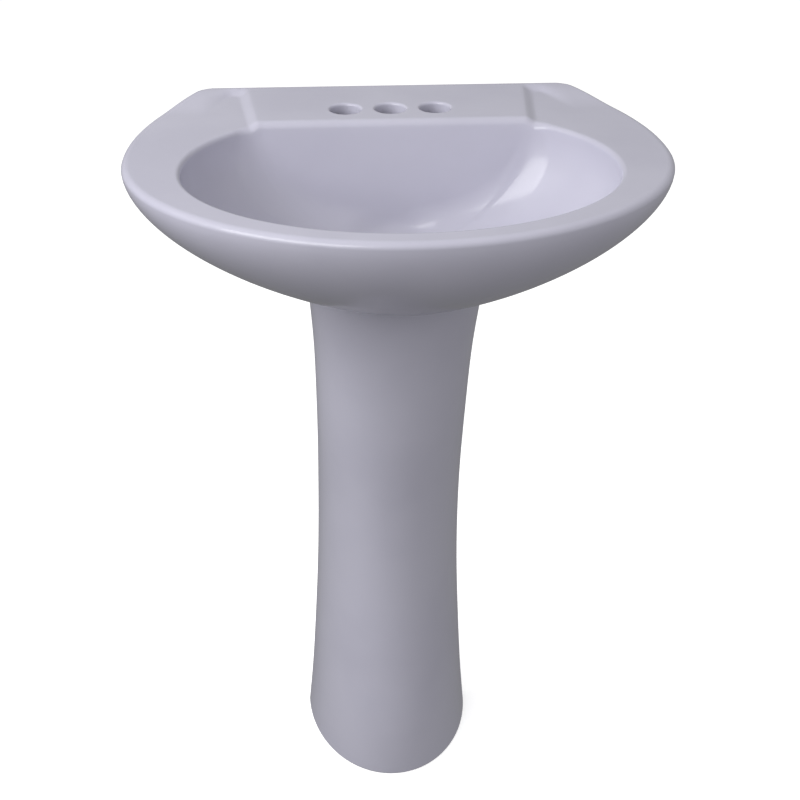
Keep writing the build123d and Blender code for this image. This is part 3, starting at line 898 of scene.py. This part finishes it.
    def rim_rings(self, lip: np.ndarray) -> list[np.ndarray]:
        """Rings across the rim and the deck, over the outer edge, to the top of the hull.

        Args:
            lip: The ring that the rim starts from.

        Returns:
            The rings after it.
        """
        gap, centre = self.hull_gap(1.0, self.hull_top)
        edge = traced(gap, centre, self.outer)
        normal = outward(edge)
        back = smooth((edge[:, 1] - self.wall) / 14.0 + 1.0)
        across, down = mix(8.0, 10.0, back), mix(6.4, 9.0, back)
        start = edge - normal * across[:, None]
        width = np.linalg.norm(start - lip[:, :2], axis=1)
        close, total, pitch = 12, 38, 2.0
        rings = []
        for number in range(total - 1, -1, -1):
            share = np.minimum(min(number, close) * pitch / width, min(number, close) / total)
            share = share + (1.0 - share) * max(number - close, 0) / (total - close)
            plan = mix(start, lip[:, :2], share[:, None])
            rings.append(lifted(plan, self.rim_height(plan)))
        level = self.rim_height(start)
        for turn in np.linspace(0.0, QUARTER, self.arc_lines)[1:]:
            plan = start + normal * (across * math.sin(turn))[:, None]
            rings.append(lifted(plan, level - down * (1.0 - math.cos(turn))))
        return rings

    def hull_rings(self) -> list[np.ndarray]:
        """Rings down the hull, whose lower sides run into the neck.

        Returns:
            The rings, the last at the top of the neck.
        """
        typical_run, blend_below, blend = 200.0, 0.2, 4.0
        fine = np.linspace(0.0, 1.0, 801)
        run = np.diff(self.spread(fine)) * typical_run
        steps = np.hypot(run, np.diff(fine) * self.hull_depth)
        length = np.concatenate([[0.0], np.cumsum(steps)])
        shares = np.interp(np.linspace(length[-1], 0.0, self.hull_lines), length, fine)
        rings = []
        for share in shares:
            height = mix(self.hull_bottom, self.hull_top, float(share))
            gap, centre = self.hull_gap(float(share), height)
            radius = polar_ring(gap, centre, self.outer)
            if share < blend_below:
                radius = soft_max(radius, polar_ring(self.neck_gap(), centre, self.outer), blend)
            rings.append(lifted(on_plan(radius, centre, self.outer), height))
        return rings

    def neck_rings(self, last: np.ndarray) -> list[np.ndarray]:
        """Rings under the hull, round the concave blend and down the neck to its seat.

        Args:
            last: The hull's lowest ring.

        Returns:
            The rings after it.
        """
        neck = polar_ring(self.neck_gap(), self.drain, self.outer)
        reach = np.linalg.norm(last[:, :2] - (0.0, self.drain), axis=1)
        most, fall = self.neck_blend
        blend = np.minimum(np.maximum(reach - neck, 0.0), most)
        rings = []
        for share in (0.25, 0.5, 0.75, 1.0):
            radius = mix(reach, neck + blend, share)
            height = self.hull_bottom - self.seam * share
            rings.append(lifted(on_plan(radius, self.drain, self.outer), height))
        for turn in np.linspace(0.0, QUARTER, self.arc_lines)[1:]:
            radius = neck + blend * (1.0 - math.sin(turn))
            height = self.hull_bottom - self.seam - fall * (1.0 - math.cos(turn))
            rings.append(lifted(on_plan(radius, self.drain, self.outer), height))
        for drop, inset in ((5.0, 0.0), (2.4, 0.0), (1.4, 0.25), (0.6, 0.9), (0.0, 2.2)):
            plan = on_plan(neck - inset, self.drain, self.outer)
            rings.append(lifted(plan, self.neck_end + drop))
        return rings

    # solids that are cut out

    def hollow(self) -> Piece:
        """Space between bowl and hull, with the bay under the deck and the inside of the neck.

        Returns:
            The space as one solid.
        """
        angles = np.arange(CUTTER_LINES) * TURN / CUTTER_LINES
        low, high = self.hull_bottom + self.china, self.hull_top - self.china / 2.0
        rings = []
        for share in (0.0, 0.02, 0.06, 0.12, 0.2, 0.3, 0.42, 0.55, 0.7, 0.85, 1.0):
            height = mix(low, high, share)
            gap, centre = self.hull_gap(share, height, self.china)
            rings.append(lifted(traced(gap, centre, angles), height))
        space = ring_skin("space", rings)
        start = self.back_rise[0]
        bay = block("bay", (-150, start - self.china, self.neck_end - 20),
                    (150, self.wall - self.china, self.top - 18), 7.0)
        combine(space, bay, Join.ADD)
        plan = traced(self.neck_gap(self.china), self.drain, angles)
        ends = (self.neck_end - 2, self.hull_bottom)
        combine(space, ring_skin("throat", [lifted(plan, z) for z in ends]), Join.ADD)
        rings = []
        for share in (0.0, 0.01, 0.04, 0.1, 0.18, 0.3, 0.45, 0.65, 1.0):
            height = mix(self.floor - self.china, self.rim, share)
            gap, centre = self.bowl_gap(share, height, self.china)
            rings.append(lifted(traced(gap, centre, angles), height))
        combine(space, ring_skin("bowl_back", rings), Join.CUT)
        chamfer = 3.5
        boss = [(self.boss_radius - chamfer, self.hull_bottom - 12.5 - chamfer),
                (self.boss_radius, self.hull_bottom - 12.5), (self.boss_radius, self.floor)]
        combine(space, turned("boss", boss, 0.0, self.drain), Join.CUT)
        jacket = block("jacket", (-21, self.front, self.hull_bottom + 2),
                       (21, self.drain, self.rim), 5.0)
        combine(space, jacket, Join.CUT)
        return space

    def holes(self) -> list[Piece]:
        """Cutters for the drain, the faucet, the wall hangers and the overflow.

        Returns:
            The cutters.
        """
        bore = [(self.drain_bore, z) for z in (self.hull_bottom - 18.0, self.floor + 1.0)]
        cutters = [turned("drain_cut", bore, 0.0, self.drain)]
        turn = np.linspace(0.0, QUARTER, 8)
        lip = [(20.5 - 3.0 * math.cos(t), self.top - 3.0 + 3.02 * math.sin(t)) for t in turn]
        profile = [(17.5, self.top - 19.0), *lip, (20.6, self.top + 2.0)]
        for x in (-self.faucet_pitch, 0.0, self.faucet_pitch):
            place_y = self.wall - self.faucet_setback
            cutters.append(turned("faucet_cut", profile, x, place_y, FAUCET_HOLE_LINES))
        for x in (-self.hanger_pitch, self.hanger_pitch):
            cutters.append(self.hanger_cut(x))
        half, back = self.overflow_half, self.overflow_back
        slot = block("slot", (-half, back, self.rim - 34), (half, -180, self.rim - 26), 3.9)
        drop = block("drop", (-half, back, self.rim - 60), (half, -194, self.rim - 27), 3.0)
        combine(slot, drop, Join.ADD)
        return cutters + [slot]

    def hanger_cut(self, x: float) -> Piece:
        """Level cutter through the back wall, its mouth softened.

        Args:
            x: The hole's place across.

        Returns:
            The cutter.
        """
        profile = [(5.5, -14.0), (5.5, -1.6), (5.9, -0.7), (6.8, 0.05), (6.8, 2.0)]
        cutter = turned("hanger_cut", profile, 0.0, 0.0, BOLT_HOLE_LINES)
        place = Matrix.Translation((x * MM, self.wall * MM, (self.top - self.hanger_drop) * MM))
        cutter.data.transform(place @ Matrix.Rotation(-QUARTER, 4, "X"))
        return cutter

    def build(self) -> Piece:
        """Make the basin and put it on its body.

        Returns:
            The basin.
        """
        rings = self.bowl_rings()
        rings += self.rim_rings(rings[-1])
        rings += self.hull_rings()
        rings += self.neck_rings(rings[-1])
        basin = ring_skin("china_basin", rings)
        combine(basin, self.hollow(), Join.CUT)
        for cutter in self.holes():
            combine(basin, cutter, Join.CUT)
        tidy_mesh(basin)
        return dress(basin, self.material, "china", "sink", "basin")


# --- pedestal

@dataclass(frozen=True)
class Station:
    """Outline of the pedestal at one share of its height, in millimetres."""

    share: float
    half: float
    widest: float
    front: float


@dataclass
class Pedestal:
    """The hollow column, open at the wall, with its foot plate."""

    material: Material
    top: float
    wall: float
    stations: tuple[Station, ...] = (
        Station(0.0, 107.4, 74.5, 235.0), Station(0.09, 101.8, 74.5, 232.0),
        Station(0.21, 96.5, 75.0, 224.0), Station(0.37, 91.4, 77.0, 218.0),
        Station(0.54, 89.6, 92.0, 222.0), Station(0.71, 90.6, 125.0, 236.0),
        Station(0.86, 93.6, 155.0, 250.0), Station(1.0, 100.4, 191.0, 266.0))
    rear: float = 73.0
    tail: float = 200.0
    china: float = 10.0
    edge: float = 2.4
    levels: int = 96
    plate: Triple = (27.5, 77.5, 14.0)
    plate_half: float = 120.0
    bolt_radius: float = 5.0
    squareness: float = 0.7

    def at(self, share: float) -> Triple:
        """Sizes of the outline at a share of the height, on a smooth curve.

        Args:
            share: The share.

        Returns:
            The half-width, the widest place and the front.
        """
        known = np.array([s.share for s in self.stations])
        values = np.array([
            (s.half, self.wall - s.widest, self.wall - s.front) for s in self.stations])
        slopes = np.gradient(values, known, axis=0)
        i = int(np.clip(np.searchsorted(known, share) - 1, 0, len(known) - 2))
        run = known[i + 1] - known[i]
        t = (share - known[i]) / run
        result = ((1 + 2 * t) * (1 - t) ** 2 * values[i] + t * (1 - t) ** 2 * run * slopes[i]
                  + t * t * (3 - 2 * t) * values[i + 1] + t * t * (t - 1) * run * slopes[i + 1])
        return tuple(float(v) for v in result)

    def outline(self, share: float, inset: float, count: int = 181) -> np.ndarray:
        """Open outline from one rear edge round the front to the other.

        Args:
            share: Share of the height.
            inset: How far the outline stands in.
            count: Points in it.

        Returns:
            Plan points.
        """
        half, widest, front = self.at(share)
        rear = self.wall - self.rear
        behind = math.asin((rear - widest) / self.tail)
        turn = np.linspace(QUARTER + behind, -QUARTER - behind, count)
        reach = np.where(np.abs(turn) <= QUARTER, widest - front - inset, self.tail)
        return np.stack([-(half - inset) * np.sin(turn), widest - reach * np.cos(turn)], axis=1)

    def section(self, share: float, height: float, draw_in: float) -> np.ndarray:
        """Closed ring round the wall's thickness, with rounded rear edges.

        Args:
            share: Share of the height, which gives the outline.
            height: Height of the ring.
            draw_in: How much thinner each face of the wall is.

        Returns:
            The ring.
        """
        line = self.outline(share, self.china / 2.0)
        thick = self.china / 2.0 - draw_in
        along = np.gradient(line, axis=0)
        along /= np.linalg.norm(along, axis=1, keepdims=True)
        normal = np.stack([-along[:, 1], along[:, 0]], axis=1)
        ease = np.linspace(0.0, math.pi, 15)[1:-1]
        ends = []
        for point, out, side in (
                (line[-1], along[-1], normal[-1]), (line[0], -along[0], -normal[0])):
            reach = thick * np.sign(np.cos(ease)) * np.abs(np.cos(ease)) ** self.squareness
            push = thick * np.abs(np.sin(ease)) ** self.squareness - thick
            ends.append(point + side * -reach[:, None] + out * push[:, None])
        cut = 2
        outer = line[cut:-cut] - normal[cut:-cut] * thick
        inner = (line[cut:-cut] + normal[cut:-cut] * thick)[::-1]
        return lifted(np.concatenate([outer, ends[0], inner, ends[1]]), height)

    def build(self) -> Piece:
        """Make the pedestal and put it on its body.

        Returns:
            The pedestal.
        """
        turn = np.linspace(0.0, QUARTER, 6)[:-1]
        soft = [(self.edge * (1 - math.sin(t)), self.edge * (1 - math.cos(t))) for t in turn]
        rings = [self.section(0.0, z, inset) for inset, z in soft]
        for height in np.linspace(self.edge, self.top - self.edge, self.levels):
            rings.append(self.section(float(height / self.top), float(height), 0.0))
        rings += [self.section(1.0, self.top - z, inset) for inset, z in reversed(soft)]
        column = ring_skin("china_pedestal", rings)
        front, back, thick = self.plate
        plate = block("plate", (-self.plate_half, front, 0.0), (self.plate_half, back, thick), 2.0)
        ends = (-1.0, thick + 1.0)
        core = self.outline(0.0, self.china / 2.0, 97)[::-1]
        combine(plate, ring_skin("core", [lifted(core, z) for z in ends]), Join.KEEP)
        bolt = turned("bolt_cut", [(self.bolt_radius, z) for z in ends], 0.0, mix(front, back, 0.5),
                      BOLT_HOLE_LINES)
        combine(plate, bolt, Join.CUT)
        combine(column, plate, Join.ADD)
        tidy_mesh(column)
        return dress(column, self.material, "china", "sink", "pedestal")


def dress(piece: Piece, material: Material, slot: str, body: str,
          *nodes: str) -> Piece:
    """Give a piece its material and body, and let it stand for CAD nodes.

    Args:
        piece: The mesh object.
        material: Its material.
        slot: The record's material slot; not used.
        body: The body that it rides.
        nodes: The CAD nodes that it replaces.

    Returns:
        The piece.
    """
    piece.data.materials.clear()
    piece.data.materials.append(material)
    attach(piece, body)
    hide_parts(*nodes)
    LOG.info("%s: %d faces, on %s", piece.name, len(piece.data.polygons), body)
    return piece


# --- studio

@dataclass(frozen=True)
class Softbox:
    """A large soft lamp aimed at the sink."""

    name: str
    place: Triple
    aim: Triple
    size: tuple[float, float]
    power: float
    mirrored: bool = True

    def build(self) -> None:
        """Add the lamp."""
        bpy.ops.object.select_all(action="DESELECT")
        bpy.ops.object.light_add(type="AREA", location=self.place)
        lamp = bpy.context.active_object
        lamp.name = self.name
        ahead = Vector(self.aim) - Vector(self.place)
        lamp.rotation_euler = ahead.to_track_quat("-Z", "Y").to_euler()
        lamp.data.shape = "RECTANGLE"
        lamp.data.size, lamp.data.size_y = self.size
        lamp.data.energy = self.power
        lamp.visible_glossy = self.mirrored


@dataclass
class Studio:
    """Pale floor, soft lamps, surroundings and the camera."""

    camera_place: Triple = (-0.127221, -1.5605, 1.451052)
    pitch: float = 0.515741
    yaw: float = 0.0830355
    roll: float = -0.0101290
    lens: float = 70.57
    film: float = 36.0
    floor_size: float = 14.0
    farthest: float = 50.0
    sky: tuple[tuple[str, float], ...] = (
        ("From Min", -0.35), ("From Max", 0.75), ("To Min", 0.21), ("To Max", 0.54))
    lamps: tuple[Softbox, ...] = (
        Softbox("key_light", (-1.48, -1.64, 2.10), (0.0, 0.0, 0.72), (2.2, 1.6), 40.0),
        Softbox("left_light", (-2.05, -0.36, 2.30), (0.0, 0.0, 0.72), (1.5, 1.5), 34.0, False),
        Softbox("right_fill", (2.39, -0.87, 1.26), (0.0, 0.0, 0.72), (1.2, 1.2), 13.0, False),
    )

    def floor(self) -> None:
        """Add the floor."""
        bpy.ops.object.select_all(action="DESELECT")
        bpy.ops.mesh.primitive_plane_add(size=self.floor_size)
        floor = bpy.context.active_object
        floor.name = "pale_floor"
        floor.data.materials.append(StudioPaper().build())
        floor.visible_diffuse = False
        floor.visible_glossy = False

    def surroundings(self) -> None:
        """Light the room: bright overhead, dim low down, white behind the sink."""
        world = bpy.data.worlds.new("studio")
        bpy.context.scene.world = world
        world.use_nodes = True
        tree = world.node_tree
        tree.nodes.clear()
        place, split, ramp, dim, white, path, switch, out = (
            tree.nodes.new(f"ShaderNode{kind}") for kind in (
                "TexCoord", "SeparateXYZ", "MapRange", "Background", "Background", "LightPath",
                "MixShader", "OutputWorld"))
        for name, value in self.sky:
            ramp.inputs[name].default_value = value
        for background in (dim, white):
            background.inputs["Color"].default_value = (*WHITE, 1.0)
        for source, target in (
            (place.outputs["Generated"], split.inputs[0]),
            (split.outputs["Z"], ramp.inputs["Value"]),
            (ramp.outputs[0], dim.inputs["Strength"]),
            (path.outputs["Is Camera Ray"], switch.inputs[0]),
            (dim.outputs[0], switch.inputs[1]), (white.outputs[0], switch.inputs[2]),
            (switch.outputs[0], out.inputs["Surface"]),
        ):
            tree.links.new(source, target)

    def camera(self) -> None:
        """Add the camera and make it the scene's."""
        ahead = np.array([math.sin(self.yaw) * math.cos(self.pitch),
                          math.cos(self.yaw) * math.cos(self.pitch), -math.sin(self.pitch)])
        level = np.array([math.cos(self.yaw), -math.sin(self.yaw), 0.0])
        down = np.cross(ahead, level)
        right = math.cos(self.roll) * level + math.sin(self.roll) * down
        lower = math.cos(self.roll) * down - math.sin(self.roll) * level
        bpy.ops.object.camera_add()
        camera = bpy.context.active_object
        axes = Matrix(np.column_stack([right, -lower, -ahead]).tolist()).to_4x4()
        camera.matrix_world = Matrix.Translation(self.camera_place) @ axes
        camera.data.lens = self.lens
        camera.data.sensor_width = self.film
        camera.data.clip_end = self.farthest
        bpy.context.scene.camera = camera

    def build(self) -> None:
        """Set up the whole studio."""
        self.floor()
        self.surroundings()
        for lamp in self.lamps:
            lamp.build()
        self.camera()
        bpy.context.scene.view_settings.view_transform = "Standard"
        LOG.info("studio: floor, %d lamps and camera", len(self.lamps))


# --- assembly

def node_finishes() -> dict[str, Material]:
    """Materials of the record's slots, for the CAD nodes that stay as they are.

    Returns:
        A material for each slot.
    """
    finishes = {
        "chrome_plate": Chrome("chrome_plate"),
        "steel_rod": MachinedMetal("turned_steel", (0.60, 0.60, 0.62), (0.42, 0.42, 0.43), 0.22),
        "spring_steel": MachinedMetal("drawn_wire", (0.48, 0.48, 0.50), (0.30, 0.30, 0.31), 0.30),
        "raw_brass": MachinedMetal("machined_brass", (0.74, 0.55, 0.26), (0.42, 0.28, 0.12), 0.26),
        "black_rubber": SoftMoulding(
            "black_rubber", (0.022, 0.022, 0.023), (0.07, 0.07, 0.068), 0.62),
        "grey_foam": SoftMoulding(
            "cell_foam", (0.10, 0.10, 0.105), (0.19, 0.19, 0.19), 0.85, grain=350.0, depth=0.0006),
        "washer_plastic": SoftMoulding(
            "satin_nylon", (0.74, 0.73, 0.68), (0.62, 0.60, 0.53), 0.42),
        "cartridge_plastic": SoftMoulding(
            "satin_acetal", (0.68, 0.68, 0.66), (0.56, 0.56, 0.54), 0.36),
    }
    return {slot: finish.build() for slot, finish in finishes.items()}


def dress_nodes() -> None:
    """Give every CAD node that stays its slot's finish."""
    finishes = node_finishes()
    for part in frame["record"]["subparts"]:
        finish = finishes.get(part["material_slot"])
        if finish is not None:
            mesh = frame["nodes"][part["node"]].data
            mesh.materials.clear()
            mesh.materials.append(finish)
            LOG.info("%s: %s", part["node"], finish.name)


def millimetres(node: str) -> tuple[list[float], list[float]]:
    """Lowest and highest corners of a CAD node, in millimetres."""
    low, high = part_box(node)
    return [v / MM for v in low], [v / MM for v in high]


def main() -> None:
    """Build the sub-assemblies in order."""
    logging.basicConfig(level=logging.INFO, format="%(message)s")
    low, high = millimetres("basin")
    drain_low, drain_high = millimetres("waste_body")
    Basin(Glaze("glaze_basin", bare_below=low[2] * MM).build(), top=high[2], wall=high[1],
          drain=mix(drain_low[1], drain_high[1], 0.5), neck_end=low[2]).build()
    Pedestal(Glaze("glaze_pedestal", bare_below=0.0003).build(), top=low[2], wall=high[1]).build()
    dress_nodes()
    Studio().build()


if __name__ == "__main__":
    main()
